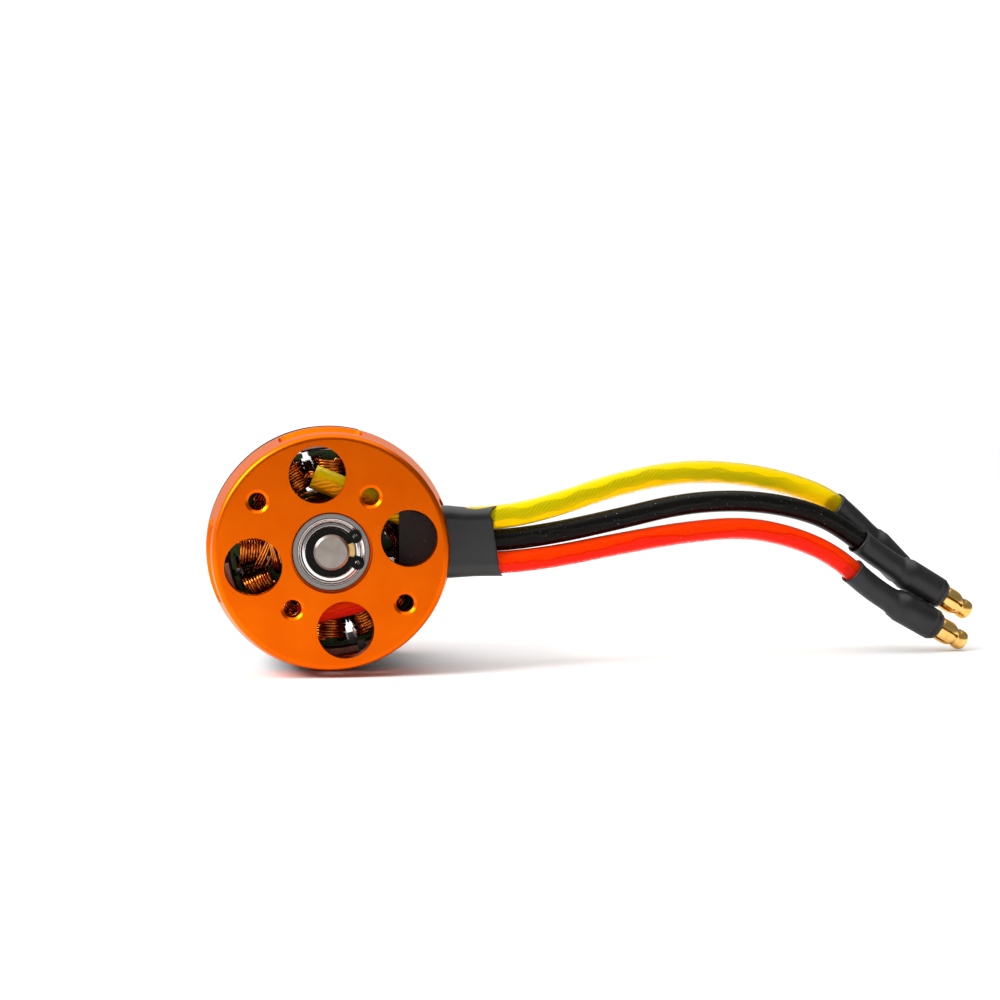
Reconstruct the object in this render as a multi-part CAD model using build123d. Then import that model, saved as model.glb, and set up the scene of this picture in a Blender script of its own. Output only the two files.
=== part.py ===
from build123d import *

import os
from math import cos, radians, sin, tan

# Brushless outrunner motor with three leads and bullet plugs, in millimetres.
#
# The motor axis is Y. The mounting face is the plane y = 0 and looks towards -Y, the shaft comes
# out towards +Y and the leads leave towards +X. Z is up, and the motor lies on its side.
# Angles run from +X towards +Z, as seen from in front of the mounting face.

# ---- Driving dimensions --------------------------------------------------------------------
BODY_R = 17.6                    # rear edge of the mount, the can and the bell
BODY_LENGTH = 36.0               # mounting face to the end of the rotor hub
CLEAR = 0.02                     # gap between pieces of one body that only lie side by side
CUT_PAST = 1.0                   # how far a cutter runs past the faces that it cuts

# Mount: a cup with a flared rim and the bearing tube in one piece
FACE_R = 16.4
FACE_ROUNDING = 0.8
PLATE = 2.8
MOUNT_DEPTH = 8.8
RIM_INNER_R = 15.3
TUBE_R = 6.3
COLLAR_R = 7.2
COLLAR_LOW = 8.2
SHOULDER_R = 4.95
SEAT_RELIEF_R, SEAT_RELIEF_DEPTH = 5.72, 2.0   # groove round the front of the rear bearing
VENT_R = 4.0
VENT_CIRCLE_R = 11.0
VENT_ANGLES = (10, 100, 190, 280)
SCREW_R = 1.25                   # M3 tapping size
COUNTERSINK_R = 1.65
COUNTERSINK_DEPTH = 0.3
SCREW_SPOTS = ((12.5, 145), (12.5, 325), (9.5, 55), (9.5, 235))
WINDOW_LOW = 2.9
# Each side window, as (angle, where its far edge starts, rise of that edge per millimetre
# outwards). The first one lets the leads out.
WINDOWS = ((4.8, 7.75, 0.24), (94.8, 6.6, 0.7), (184.8, 6.6, 0.7), (274.8, 6.6, 0.7))
WINDOW_SPAN = 40.5
WINDOW_CORNER = 1.2

# Bearings, 5 x 11 x 5
BEARING_BORE_R, BEARING_R, BEARING_WIDTH = 2.5, 5.5, 5.0
REAR_BEARING, FRONT_BEARING = 1.6, 22.2
INNER_RACE_R, OUTER_RACE_R = 3.4, 4.75
RING_CHAMFER = 0.15
BALL_R, BALL_COUNT = 0.794, 7
BALL_PITCH_R = (INNER_RACE_R + OUTER_RACE_R) / 2
BALL_CLEARANCE = 0.025
SHIELD_INNER_R, SHIELD_THICK, SHIELD_INSET = 3.5, 0.2, 0.15
CAGE_INNER_R, CAGE_OUTER_R, CAGE_HALF_WIDTH = 3.8, 4.35, 1.1

# Stator: twelve teeth, wound with one coil each
STACK_LOW, STACK_HIGH = 9.8, 23.8
STATOR_R = 14.15
TIP_THICK, TIP_SPAN = 0.6, 26.0
TOOTH_COUNT, TOOTH_WIDTH, TOOTH_START = 12, 2.5, -1.0
CORE_HUB_R = 8.3
STEM_OVERLAP = 0.1               # how far a tooth's stem runs into the hub and the tip
COIL_INNER_R, COIL_OUTER_R = 8.9, 13.2
COIL_INNER_WIDTH, COIL_OUTER_WIDTH = 4.3, 5.4
COIL_FLAT = 0.8                  # flat stretch across the middle of a coil's ends
COIL_BULGE = 2.15
PHASE_TEETH = {"a": (0, 1, 6, 7), "b": (2, 3, 8, 9), "c": (4, 5, 10, 11)}
STRAND_R = 0.8                   # bundle of enamelled wires from a coil to its lead

# Rotor
CAN_LOW, CAN_HIGH, CAN_INNER_R = 9.3, 29.3, 16.2
MAGNET_COUNT, MAGNET_INNER_R, MAGNET_SPAN, MAGNET_START = 14, 14.6, 21.0, -7.4
MAGNET_LOW, MAGNET_HIGH = 9.8, 24.8
BELL_FACE, BELL_FACE_R, BELL_ROUNDING = 32.4, 16.4, 0.5
SPIGOT_LOW, SPIGOT_INNER_R = 27.4, 15.2
SPOKE_LOW = 29.9
SPOKE_COUNT, SPOKE_SPAN, SPOKE_START = 6, 16.0, 18.0
VENT_OUTER_R, VENT_INNER_R, BELL_VENT_CORNER = 15.2, 6.6, 1.0
HUB_R, HUB_LOW = 5.0, 28.6
BOSS_R = 3.35
SHAFT_R, SHAFT_LOW, SHAFT_HIGH, SHAFT_CHAMFER = 2.5, 0.15, 53.0, 0.35
GROOVE_R, GROOVE_LOW, GROOVE_HIGH = 2.4, 0.65, 1.35
RELIEF_R, RELIEF_LOW, RELIEF_HIGH = 2.2, 35.6, 36.5
GRUB_R, GRUB_HIGH, GRUB_END_R, GRUB_ANGLES = 1.5, 34.0, 4.8, (18, 108)
GRUB_HEX_R, GRUB_HEX_DEPTH = 0.87, 1.2
GRUB_HOLE_INNER_R = 0.5          # the tapped holes are drilled into the bore from outside
FLAT_R, FLAT_HALF = 2.3, 1.55     # flats on the shaft under the grub screws
LABEL_THICK, LABEL_LOW, LABEL_HIGH = 0.12, 11.5, 27.5
LABEL_START, LABEL_SPAN = 76.0, 150.0

# Retaining ring and its shim, on the shaft in front of the rear bearing
RING_LOW, RING_HIGH = 0.7, 1.3
RING_R, RING_OFFSET = 3.4, 0.12
RING_GAP_ANGLE, RING_GAP_HALF, LUG_HALF = 5.5, 19.0, 28.0
LUG_SPOT_R, LUG_R, LUG_HOLE_R = 3.95, 0.95, 0.35
SHIM_LOW, SHIM_R, SHIM_BORE_R = 1.3, 3.25, 2.53

# Leads: radius, route inside the motor, free route from the rim to the plug, plug
RIM_EXIT = 17.6
LEADS = {
    "yellow": {
        "radius": 1.725,
        "inner": [(-2.4, 4.95, 10.5), (12.4, 4.95, 4.35), (RIM_EXIT, 4.95, 4.35)],
        "inner_radii": [8.0],
        "route": [(RIM_EXIT, 4.95, 4.35), (23.8, 4.95, 4.35), (32.0, 6.5, 6.0), (42.0, 9.8, 9.1),
                  (52.5, 13.5, 10.9), (62.5, 17.2, 10.5), (71.0, 20.1, 8.9), (78.0, 22.4, 6.5),
                  (83.1, 24.0, 2.5), (86.7, 24.9, -0.9)],
    },
    "black": {
        "radius": 1.6,
        "inner": [(9.4, 5.75, 1.1), (RIM_EXIT, 5.75, 1.1)],
        "inner_radii": [],
        "route": [(RIM_EXIT, 5.75, 1.1), (23.8, 5.75, 1.1), (32.0, 6.2, 2.1), (42.0, 8.5, 4.0),
                  (52.5, 11.3, 6.2), (62.5, 14.1, 6.5), (71.0, 16.4, 5.3), (78.0, 18.0, 2.9),
                  (85.8, 19.9, -2.8), (90.1, 20.5, -5.3)],
    },
    "red": {
        "radius": 1.625,
        "inner": [(-4.5, 4.95, -9.3), (5.0, 4.95, -7.1), (12.2, 4.95, -2.05),
                  (RIM_EXIT, 4.95, -2.05)],
        "inner_radii": [12.0, 5.0],
        "route": [(RIM_EXIT, 4.95, -2.05), (23.8, 4.95, -2.05), (32.0, 6.0, -1.3),
                  (42.0, 8.1, 0.4), (52.5, 10.7, 1.9), (62.5, 13.2, 2.5), (71.0, 15.3, 0.7),
                  (78.0, 16.7, -2.4), (84.2, 18.2, -7.8), (88.6, 18.8, -10.2)],
    },
}
# Bends of the bare strands that join each lead to the nearest coil of its phase
STRANDS = {
    "a": [(9.4, 5.75, 1.1), (8.3, 5.75, 1.1), (8.3, 8.8, 1.1)],
    "b": [(-4.5, 4.95, -9.3), (-5.9, 4.95, -9.63), (-5.9, 8.6, -9.63)],
    "c": [(-2.4, 4.95, 10.5), (-4.3, 4.95, 11.3), (-4.3, 8.6, 11.3)],
}
ARC_SHARE = 0.45                 # share of the shorter run that each arc of a lead may take

# Flat sleeve over the three leads where they pass the rim
SLEEVE_INNER_END, SLEEVE_STRAIGHT, SLEEVE_MOUTH = 9.6, 13.7, 23.9
SLEEVE_Y, SLEEVE_Z = 5.285, 1.2
SLEEVE_THICK, SLEEVE_HEIGHT, SLEEVE_CORNER = 4.57, 10.18, 1.95
SLEEVE_WALL = 0.2
FLARE_Z, FLARE_HEIGHT = 0.7, 14.0
NOTCH_R, NOTCH_Z = 1.3, 5.1        # bite at the mouth, where the yellow lead rises

# Bullet plugs, as (radius, distance from the end of the lead) profiles
CUP_R, CUP_LENGTH = 2.2, 6.8
PIN_NECK_R, PIN_SPRING_R, PIN_TIP_R, PIN_END_R = 1.4, 1.88, 1.5, 1.25
PIN_START, SPRING_START, SPRING_END, TIP_EDGE, PLUG_LENGTH = 7.0, 7.3, 10.9, 12.4, 12.8
SPRING_GRIP = 2.2                # length of the leaves' widest stretch
SLIT_COUNT, SLIT_WIDTH, SLIT_FLOOR_R, SLIT_END_GAP = 6, 0.35, 1.05, 0.2
PLUG_SLEEVE_R, PLUG_SLEEVE_BACK, BULGE_R, BULGE_START, BULGE_END = 1.93, 4.75, 2.5, -1.6, 7.2
BULGE_ROUNDING = 0.6


# ---- Helpers -------------------------------------------------------------------------------
def turned(*profile):
    """Solid of revolution about the Y axis from (radius, y) corners."""
    return revolve(make_face(Polyline(*profile, close=True)), axis=Axis.Y)


def ring(inner, outer, low, high):
    return turned((inner, low), (outer, low), (outer, high), (inner, high))


def around(shape, angle):
    """Turn a shape about the motor axis, from +X towards +Z."""
    return Rot(Y=-angle) * shape


def polar(radius, angle):
    """The (x, z) place at a radius and angle about the motor axis."""
    return radius * cos(radians(angle)), radius * sin(radians(angle))


def rod(radius, low, high, spot=(0, 0)):
    """Cylinder along Y from low to high, at the (x, z) spot."""
    upright = Cylinder(radius, high - low, align=(Align.CENTER, Align.CENTER, Align.MIN))
    return Pos(spot[0], low, spot[1]) * Rot(X=-90) * upright


def radial_rod(radius, inner, outer, y, angle):
    """Cylinder pointing away from the motor axis."""
    upright = Cylinder(radius, outer - inner, align=(Align.CENTER, Align.CENTER, Align.MIN))
    return around(Pos(inner, y, 0) * Rot(Y=90) * upright, angle)


def plate(outline, low, high):
    """Extrude an (x, z) outline along Y from low to high."""
    return Pos(0, high, 0) * Rot(X=90) * extrude(outline, amount=high - low)


def wedge(centre_angle, half_angle, reach=40.0):
    """Flat (x, z) triangle from the motor axis outwards."""
    first, last = centre_angle - half_angle, centre_angle + half_angle
    return make_face(Polyline((0, 0), polar(reach, first), polar(reach, last), close=True))


def sector(inner, outer, low, high, centre_angle, span, slope=0.0):
    """Part of a ring, centred on an angle. A slope raises its high face towards the outside."""
    outline = Polyline((inner, low), (outer, low), (outer, high + slope * (outer - inner)),
                       (inner, high), close=True)
    part = revolve(make_face(outline), axis=Axis.Y, revolution_arc=span)
    return around(part, centre_angle + span / 2)


def rounded_sector(inner, outer, low, high, centre_angle, span, corner, slope):
    """A sector whose radial edges are rounded."""
    block = sector(inner, outer, low, high, centre_angle, span, slope)
    radial = [edge for edge in block.edges().filter_by(GeomType.LINE) if abs((edge % 0).Y) < 0.8]
    return fillet(radial, corner)


def group(solids):
    """Separate solids that share one node."""
    return Compound(children=list(solids))


def arc_radii(points):
    """Radius of the arc at each corner of a lead, from the shorter run beside it."""
    spots = [Vector(*point) for point in points]
    radii = []
    for before, corner, after in zip(spots, spots[1:], spots[2:]):
        arriving, leaving = corner - before, after - corner
        shorter = min(arriving.length, leaving.length)
        radii.append(ARC_SHARE * shorter / tan(radians(arriving.get_angle(leaving) / 2)))
    return radii


def tube(path, radius):
    start = Plane(origin=path @ 0, z_dir=path % 0)
    return sweep(start * Circle(radius), path=path)


def bent_tube(points, radii, radius):
    """Tube along straight runs joined by tangent arcs."""
    path = FilletPolyline(*points, radius=radii) if radii else Line(*points)
    return tube(path, radius)


# ---- Mount ---------------------------------------------------------------------------------
def make_mount_base():
    bearing_end = REAR_BEARING + BEARING_WIDTH
    front_end = FRONT_BEARING + BEARING_WIDTH
    base = turned(
        (SEAT_RELIEF_R, 0), (FACE_R, 0), (BODY_R, MOUNT_DEPTH), (RIM_INNER_R, MOUNT_DEPTH),
        (RIM_INNER_R, PLATE), (TUBE_R, PLATE), (TUBE_R, COLLAR_LOW), (COLLAR_R, COLLAR_LOW),
        (COLLAR_R, STACK_LOW), (TUBE_R, STACK_LOW), (TUBE_R, front_end), (BEARING_R, front_end),
        (BEARING_R, FRONT_BEARING), (SHOULDER_R, FRONT_BEARING), (SHOULDER_R, bearing_end),
        (BEARING_R, bearing_end), (BEARING_R, SEAT_RELIEF_DEPTH),
        (SEAT_RELIEF_R, SEAT_RELIEF_DEPTH))
    face_rims = base.edges().filter_by(GeomType.CIRCLE).filter_by_position(Axis.Y, -0.01, 0.01)
    base = fillet(face_rims.sort_by(SortBy.RADIUS)[-1], FACE_ROUNDING)
    for angle in VENT_ANGLES:
        base -= rod(VENT_R, -CUT_PAST, PLATE + CUT_PAST, polar(VENT_CIRCLE_R, angle))
    for radius, angle in SCREW_SPOTS:
        sink = turned((0, 0), (COUNTERSINK_R, 0), (SCREW_R, COUNTERSINK_DEPTH),
                      (0, COUNTERSINK_DEPTH))
        x, z = polar(radius, angle)
        base -= rod(SCREW_R, -CUT_PAST, PLATE + CUT_PAST, (x, z)) + Pos(x, 0, z) * sink
    for angle, high, slope in WINDOWS:
        base -= rounded_sector(RIM_INNER_R - CUT_PAST, BODY_R + CUT_PAST, WINDOW_LOW,
                               high - slope * CUT_PAST, angle, WINDOW_SPAN, WINDOW_CORNER, slope)
    return base


# ---- Bearings ------------------------------------------------------------------------------
def ball_spots(middle):
    for index in range(BALL_COUNT):
        x, z = polar(BALL_PITCH_R, index * 360 / BALL_COUNT)
        yield Pos(x, middle, z)


def bearing(name, start):
    """The pieces of one ball bearing whose outer face starts at y = start."""
    end, middle = start + BEARING_WIDTH, start + BEARING_WIDTH / 2
    race = Pos(0, middle, 0) * Rot(X=90) * Torus(BALL_PITCH_R, BALL_R + BALL_CLEARANCE)
    outer = turned(
        (OUTER_RACE_R, start), (BEARING_R - RING_CHAMFER, start), (BEARING_R, start + RING_CHAMFER),
        (BEARING_R, end - RING_CHAMFER), (BEARING_R - RING_CHAMFER, end), (OUTER_RACE_R, end))
    inner = turned(
        (BEARING_BORE_R + RING_CHAMFER, start), (INNER_RACE_R, start), (INNER_RACE_R, end),
        (BEARING_BORE_R + RING_CHAMFER, end), (BEARING_BORE_R, end - RING_CHAMFER),
        (BEARING_BORE_R, start + RING_CHAMFER))
    shields = [
        ring(SHIELD_INNER_R, OUTER_RACE_R, low, low + SHIELD_THICK)
        for low in (start + SHIELD_INSET, end - SHIELD_INSET - SHIELD_THICK)]
    cage = ring(CAGE_INNER_R, CAGE_OUTER_R, middle - CAGE_HALF_WIDTH, middle + CAGE_HALF_WIDTH)
    for index in range(BALL_COUNT):
        cage -= radial_rod(BALL_R + BALL_CLEARANCE, CAGE_INNER_R - CUT_PAST,
                           CAGE_OUTER_R + CUT_PAST, middle, index * 360 / BALL_COUNT)
    return {
        f"{name}_bearing_outer_ring": outer - race,
        f"{name}_bearing_inner_ring": inner - race,
        f"{name}_bearing_shields": group(shields),
        f"{name}_bearing_balls": group(spot * Sphere(BALL_R) for spot in ball_spots(middle)),
        f"{name}_bearing_cage": cage,
    }


# ---- Stator --------------------------------------------------------------------------------
def make_stator_core():
    tip_inner = STATOR_R - TIP_THICK
    tip = (Circle(STATOR_R) - Circle(tip_inner)) & wedge(0, TIP_SPAN / 2)
    root = (CORE_HUB_R**2 - (TOOTH_WIDTH / 2)**2)**0.5 - STEM_OVERLAP
    stem_length = tip_inner + STEM_OVERLAP - root
    stem = Pos(root + stem_length / 2, 0) * Rectangle(stem_length, TOOTH_WIDTH)
    outline = Circle(CORE_HUB_R)
    for index in range(TOOTH_COUNT):
        outline += Rot(Z=TOOTH_START + index * 360 / TOOTH_COUNT) * (stem + tip)
    return plate(outline - Circle(TUBE_R), STACK_LOW, STACK_HIGH)


def make_coil():
    """One coil, on the tooth at angle 0."""
    middle = (STACK_LOW + STACK_HIGH) / 2
    height = STACK_HIGH - STACK_LOW + 2 * COIL_BULGE
    ends = []
    for reach, width in ((COIL_INNER_R, COIL_INNER_WIDTH), (COIL_OUTER_R, COIL_OUTER_WIDTH)):
        end = Plane(origin=(reach, middle, 0), x_dir=(0, 1, 0), z_dir=(1, 0, 0))
        ends.append(end * RectangleRounded(height, width, (width - COIL_FLAT) / 2))
    tooth = Box(2 * COIL_OUTER_R, STACK_HIGH - STACK_LOW, TOOTH_WIDTH)
    return loft(ends) - Pos(COIL_OUTER_R, middle, 0) * tooth


def make_phase(phase, strand_points):
    """The four coils of a phase, with the bare strands that run to its lead."""
    coil = make_coil()
    step = 360 / TOOTH_COUNT
    coils = [around(coil, TOOTH_START + tooth * step) for tooth in PHASE_TEETH[phase]]
    strands = bent_tube(strand_points, [STRAND_R], STRAND_R)
    joined = []
    for solid in coils:
        touching = solid.distance_to(strands) < 0.001
        joined.append((solid + strands).solid() if touching else solid)
    return group(joined)


# ---- Rotor ---------------------------------------------------------------------------------
def make_magnets():
    step = 360 / MAGNET_COUNT
    return group(
        sector(MAGNET_INNER_R, CAN_INNER_R, MAGNET_LOW, MAGNET_HIGH, MAGNET_START + index * step,
               MAGNET_SPAN) for index in range(MAGNET_COUNT))


def make_bell():
    front_bearing_end = FRONT_BEARING + BEARING_WIDTH
    bell = turned(
        (SHAFT_R, front_bearing_end), (BOSS_R, front_bearing_end), (BOSS_R, HUB_LOW),
        (HUB_R, HUB_LOW), (HUB_R, SPOKE_LOW), (SPIGOT_INNER_R, SPOKE_LOW),
        (SPIGOT_INNER_R, SPIGOT_LOW), (CAN_INNER_R, SPIGOT_LOW), (CAN_INNER_R, CAN_HIGH),
        (BODY_R, CAN_HIGH), (BELL_FACE_R, BELL_FACE), (HUB_R, BELL_FACE), (HUB_R, BODY_LENGTH),
        (SHAFT_R, BODY_LENGTH))
    rims = bell.edges().filter_by(GeomType.CIRCLE).filter_by_position(
        Axis.Y, BELL_FACE - 0.01, BELL_FACE + 0.01)
    bell = fillet(rims.sort_by(SortBy.RADIUS)[-1], BELL_ROUNDING)
    step = 360 / SPOKE_COUNT
    for index in range(SPOKE_COUNT):
        middle = SPOKE_START + (index + 0.5) * step
        bell -= rounded_vent(middle, step - SPOKE_SPAN)
    for angle in GRUB_ANGLES:
        bell -= grub_hole(angle)
    return bell


def rounded_vent(angle, span):
    """Cutter for one opening between two spokes."""
    block = sector(VENT_INNER_R, VENT_OUTER_R, SPOKE_LOW - CUT_PAST, BELL_FACE + CUT_PAST, angle,
                   span)
    lines = block.edges().filter_by(GeomType.LINE)
    lengthwise = [edge for edge in lines if abs((edge % 0).Y) > 0.5]
    return fillet(lengthwise, BELL_VENT_CORNER)


def grub_hole(angle):
    return radial_rod(GRUB_R, GRUB_HOLE_INNER_R, HUB_R + CUT_PAST, GRUB_HIGH, angle)


def make_grub_screws():
    screws = []
    for angle in GRUB_ANGLES:
        body = radial_rod(GRUB_R, FLAT_R, GRUB_END_R, GRUB_HIGH, angle)
        hexagon = extrude(RegularPolygon(GRUB_HEX_R, 6), amount=GRUB_HEX_DEPTH)
        socket = Pos(GRUB_END_R - GRUB_HEX_DEPTH, GRUB_HIGH, 0) * Rot(Y=90) * hexagon
        screws.append(body - around(socket, angle))
    return group(screws)


def make_shaft():
    inner = SHAFT_R - SHAFT_CHAMFER
    shaft = turned(
        (0, SHAFT_LOW), (inner, SHAFT_LOW), (SHAFT_R, SHAFT_LOW + SHAFT_CHAMFER),
        (SHAFT_R, GROOVE_LOW), (GROOVE_R, GROOVE_LOW), (GROOVE_R, GROOVE_HIGH),
        (SHAFT_R, GROOVE_HIGH), (SHAFT_R, RELIEF_LOW), (RELIEF_R, RELIEF_LOW),
        (RELIEF_R, RELIEF_HIGH), (SHAFT_R, RELIEF_HIGH), (SHAFT_R, SHAFT_HIGH - SHAFT_CHAMFER),
        (inner, SHAFT_HIGH), (0, SHAFT_HIGH))
    for angle in GRUB_ANGLES:
        flat = Pos(FLAT_R + CUT_PAST, GRUB_HIGH, 0) * Box(2 * CUT_PAST, 2 * FLAT_HALF, 2 * SHAFT_R)
        shaft -= around(flat, angle)
    return shaft


def make_retaining_ring():
    body = Pos(-RING_OFFSET, 0) * Circle(RING_R) - wedge(0, RING_GAP_HALF)
    lugs = [Pos(*polar(LUG_SPOT_R, side * LUG_HALF)) for side in (-1, 1)]
    for spot in lugs:
        body += spot * Circle(LUG_R)
    for spot in lugs:
        body -= spot * Circle(LUG_HOLE_R)
    body -= Circle(GROOVE_R)
    return plate(Rot(Z=RING_GAP_ANGLE) * body, RING_LOW, RING_HIGH)


# ---- Leads ---------------------------------------------------------------------------------
def end_frame(lead):
    """Plane at the end of a lead, looking along its plug."""
    before, end = (Vector(*point) for point in lead["route"][-2:])
    return Plane(origin=end, z_dir=end - before)


def sleeve_section(x, z, height, inset):
    """One rounded section of the flat sleeve, across the leads."""
    across = Plane(origin=(x, SLEEVE_Y, z), x_dir=(0, 1, 0), z_dir=(1, 0, 0))
    thick, tall = SLEEVE_THICK - 2 * inset, height - 2 * inset
    return across * RectangleRounded(thick, tall, SLEEVE_CORNER - inset)


def sleeve_body(inset):
    """The flat sleeve's outside, or with an inset its hollow."""
    flare_end = sleeve_section(SLEEVE_INNER_END, FLARE_Z, FLARE_HEIGHT, inset)
    straight = sleeve_section(SLEEVE_STRAIGHT, SLEEVE_Z, SLEEVE_HEIGHT, inset)
    return loft([flare_end, straight]) + extrude(straight, amount=SLEEVE_MOUTH - SLEEVE_STRAIGHT)


def make_lead_sleeve():
    yellow = LEADS["yellow"]
    passage = bent_tube(yellow["route"], arc_radii(yellow["route"]), yellow["radius"] + CLEAR)
    notch = rod(NOTCH_R, 0, SLEEVE_Y, (SLEEVE_MOUTH, NOTCH_Z))
    return sleeve_body(0) - sleeve_body(SLEEVE_WALL) - passage - notch


def make_plug(lead):
    """Gold plug: a solder cup under the sleeve, and a pin with spring leaves."""
    spring_middle = (SPRING_START + SPRING_END) / 2
    body = turned(
        (0, 0), (CUP_R, 0), (CUP_R, CUP_LENGTH), (PIN_TIP_R, PIN_START), (PIN_TIP_R, SPRING_START),
        (PIN_NECK_R, SPRING_START), (PIN_SPRING_R, spring_middle - SPRING_GRIP / 2),
        (PIN_SPRING_R, spring_middle + SPRING_GRIP / 2), (PIN_NECK_R, SPRING_END),
        (PIN_TIP_R, SPRING_END), (PIN_TIP_R, TIP_EDGE), (PIN_END_R, PLUG_LENGTH),
        (0, PLUG_LENGTH))
    slit_length = SPRING_END - SPRING_START - 2 * SLIT_END_GAP
    slit = Pos(SLIT_FLOOR_R + CUT_PAST, spring_middle, 0) * Box(2 * CUT_PAST, slit_length, SLIT_WIDTH)
    for index in range(SLIT_COUNT):
        body -= around(slit, index * 360 / SLIT_COUNT)
    return end_frame(lead) * (Rot(X=90) * body)


def make_plug_sleeve(lead):
    """Shrunk sleeve over the end of a lead and the back of its plug."""
    start, corner, end = (Vector(*point) for point in lead["route"][-3:])
    back = corner + (start - corner).normalized() * PLUG_SLEEVE_BACK
    radii = arc_radii(lead["route"])[-1:]
    over_lead = bent_tube([back, corner, end], radii, PLUG_SLEEVE_R)
    bulge = turned(
        (0, BULGE_START), (PLUG_SLEEVE_R, BULGE_START), (BULGE_R, 0),
        (BULGE_R, BULGE_END - BULGE_ROUNDING), (BULGE_R - BULGE_ROUNDING, BULGE_END),
        (0, BULGE_END))
    return over_lead + end_frame(lead) * (Rot(X=90) * bulge)


def make_lead_pieces():
    """Each lead's inner and free stretch, its plug and its plug's sleeve."""
    pieces = {}
    for colour, lead in LEADS.items():
        radii = arc_radii(lead["route"])
        print(f"{colour} lead: arc radii, mm:", ", ".join(f"{radius:.1f}" for radius in radii))
        free = bent_tube(lead["route"], radii, lead["radius"])
        plug = make_plug(lead)
        pieces[f"{colour}_lead_inner"] = bent_tube(lead["inner"], lead["inner_radii"],
                                                   lead["radius"])
        pieces[f"{colour}_lead"] = free
        pieces[f"{colour}_plug"] = plug
        pieces[f"{colour}_plug_sleeve"] = make_plug_sleeve(lead) - free - plug
    return pieces


# ---- All pieces ----------------------------------------------------------------------------
def make_parts():
    parts = {"mount_base": make_mount_base(), "stator_core": make_stator_core()}
    parts |= bearing("rear", REAR_BEARING)
    parts |= bearing("front", FRONT_BEARING)
    for phase, points in STRANDS.items():
        parts[f"phase_{phase}_coils"] = make_phase(phase, points)
    parts |= make_lead_pieces()
    parts["lead_sleeve"] = make_lead_sleeve()
    parts["rotor_can"] = ring(CAN_INNER_R, BODY_R, CAN_LOW, CAN_HIGH)
    parts["magnets"] = make_magnets()
    parts["rotor_bell"] = make_bell()
    parts["shaft"] = make_shaft()
    parts["grub_screws"] = make_grub_screws()
    parts["retaining_ring"] = make_retaining_ring()
    parts["shim_washer"] = ring(SHIM_BORE_R, SHIM_R, SHIM_LOW, REAR_BEARING)
    parts["can_label"] = sector(BODY_R, BODY_R + LABEL_THICK, LABEL_LOW, LABEL_HIGH,
                                LABEL_START + LABEL_SPAN / 2, LABEL_SPAN)
    return parts


os.makedirs("parts", exist_ok=True)
for node, shape in make_parts().items():
    export_step(shape, f"parts/{node}.step")
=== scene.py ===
"""Looks of a brushless outrunner motor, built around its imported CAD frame.

The motor axis is Y: the mounting face looks towards -Y, the shaft comes out towards +Y and the
leads leave towards +X. Z is up. Angles run from +X towards +Z, as seen from in front of the
mounting face. Lengths are in millimetres, and become metres where a piece is made.
"""

from math import cos, pi, radians, sin, tau
from random import Random

import bpy
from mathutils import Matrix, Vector


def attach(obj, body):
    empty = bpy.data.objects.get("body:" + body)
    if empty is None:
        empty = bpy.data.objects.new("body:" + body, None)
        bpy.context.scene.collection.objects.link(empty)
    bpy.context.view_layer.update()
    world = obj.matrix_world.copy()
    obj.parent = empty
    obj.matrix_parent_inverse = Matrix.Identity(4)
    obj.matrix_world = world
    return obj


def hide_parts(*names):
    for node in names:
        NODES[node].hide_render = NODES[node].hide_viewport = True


MM = 0.001

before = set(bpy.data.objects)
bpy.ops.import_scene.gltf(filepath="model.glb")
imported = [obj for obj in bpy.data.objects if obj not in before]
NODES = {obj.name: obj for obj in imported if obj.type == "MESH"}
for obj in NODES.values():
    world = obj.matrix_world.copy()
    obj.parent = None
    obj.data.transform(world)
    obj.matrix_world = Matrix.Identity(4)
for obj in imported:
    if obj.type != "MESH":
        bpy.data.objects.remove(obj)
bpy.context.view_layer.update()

# ---- Dimensions ----------------------------------------------------------------------------
FLOOR_Z, FLOOR_HALF = -17.6, 3000.0

# Camera, at the height of the motor's top edge and looking a little down
CAMERA_SPOT = (-7.8, -250.0, 17.0)
CAMERA_TURN, CAMERA_TILT = 7.16, 2.22
CAMERA_LENS, SENSOR = 64.55, 36.0

# Studio light by direction: (towards, degrees of full light, degrees where it ends, strength)
ROOM_LIGHT = 0.24
SOFT_WALLS = [((0.125, 0.99, 0.02), 22.0, 29.0, 1.12),
              ((-0.72, 0.42, 0.55), 30.0, 62.0, 1.0),
              ((-0.1, 0.1, 1.0), 30.0, 50.0, 2.15)]
KEY_SPOT, KEY_SIZE, KEY_POWER = (-300, -120, 260), 220, 2.2

# Windings
TOOTH_COUNT, TOOTH_START = 12, -1.0
STACK_LOW, STACK_HIGH = 9.8, 23.8
COIL_INNER_R, COIL_OUTER_R = 8.9, 13.2
COIL_INNER_HALF, COIL_OUTER_HALF, COIL_BULGE = 2.15, 2.7, 2.15
WIRE_R, LAYER_PITCH = 0.2, 1.75     # layers nest, so their pitch is under two wire radii
TURNS, LAYERS = 10, 2
LAYER_SIDES = (8, 6)
LAYER_SPREAD = ((-0.12, 0.14), (-0.05, 0.03))     # how unevenly each layer's turns bulge
END_SPREAD, LEAN, LOOP_CORNER = (-0.03, 0.10), 0.08, 0.8
PHASE_TEETH = {"a": (0, 1, 6, 7), "b": (2, 3, 8, 9), "c": (4, 5, 10, 11)}
SLOT_WIRE_R, SLOT_ROW, SLOT_COLUMN, SLOT_SPREAD = 8.9, 0.38, 0.42, 0.05
SLOT_WIRES = (1, 1, 2, 2, 2, 3, 3, 3, 3, 3, 3)   # from the bottom of a slot outwards
SLOT_FRONT, SLOT_BACK = (0.5, 1.9), 1.5          # how far the wires pass the stack's ends
OPEN_SLOT, OPEN_SLOT_ROWS = 9, 6    # the one slot that can be seen through
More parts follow.
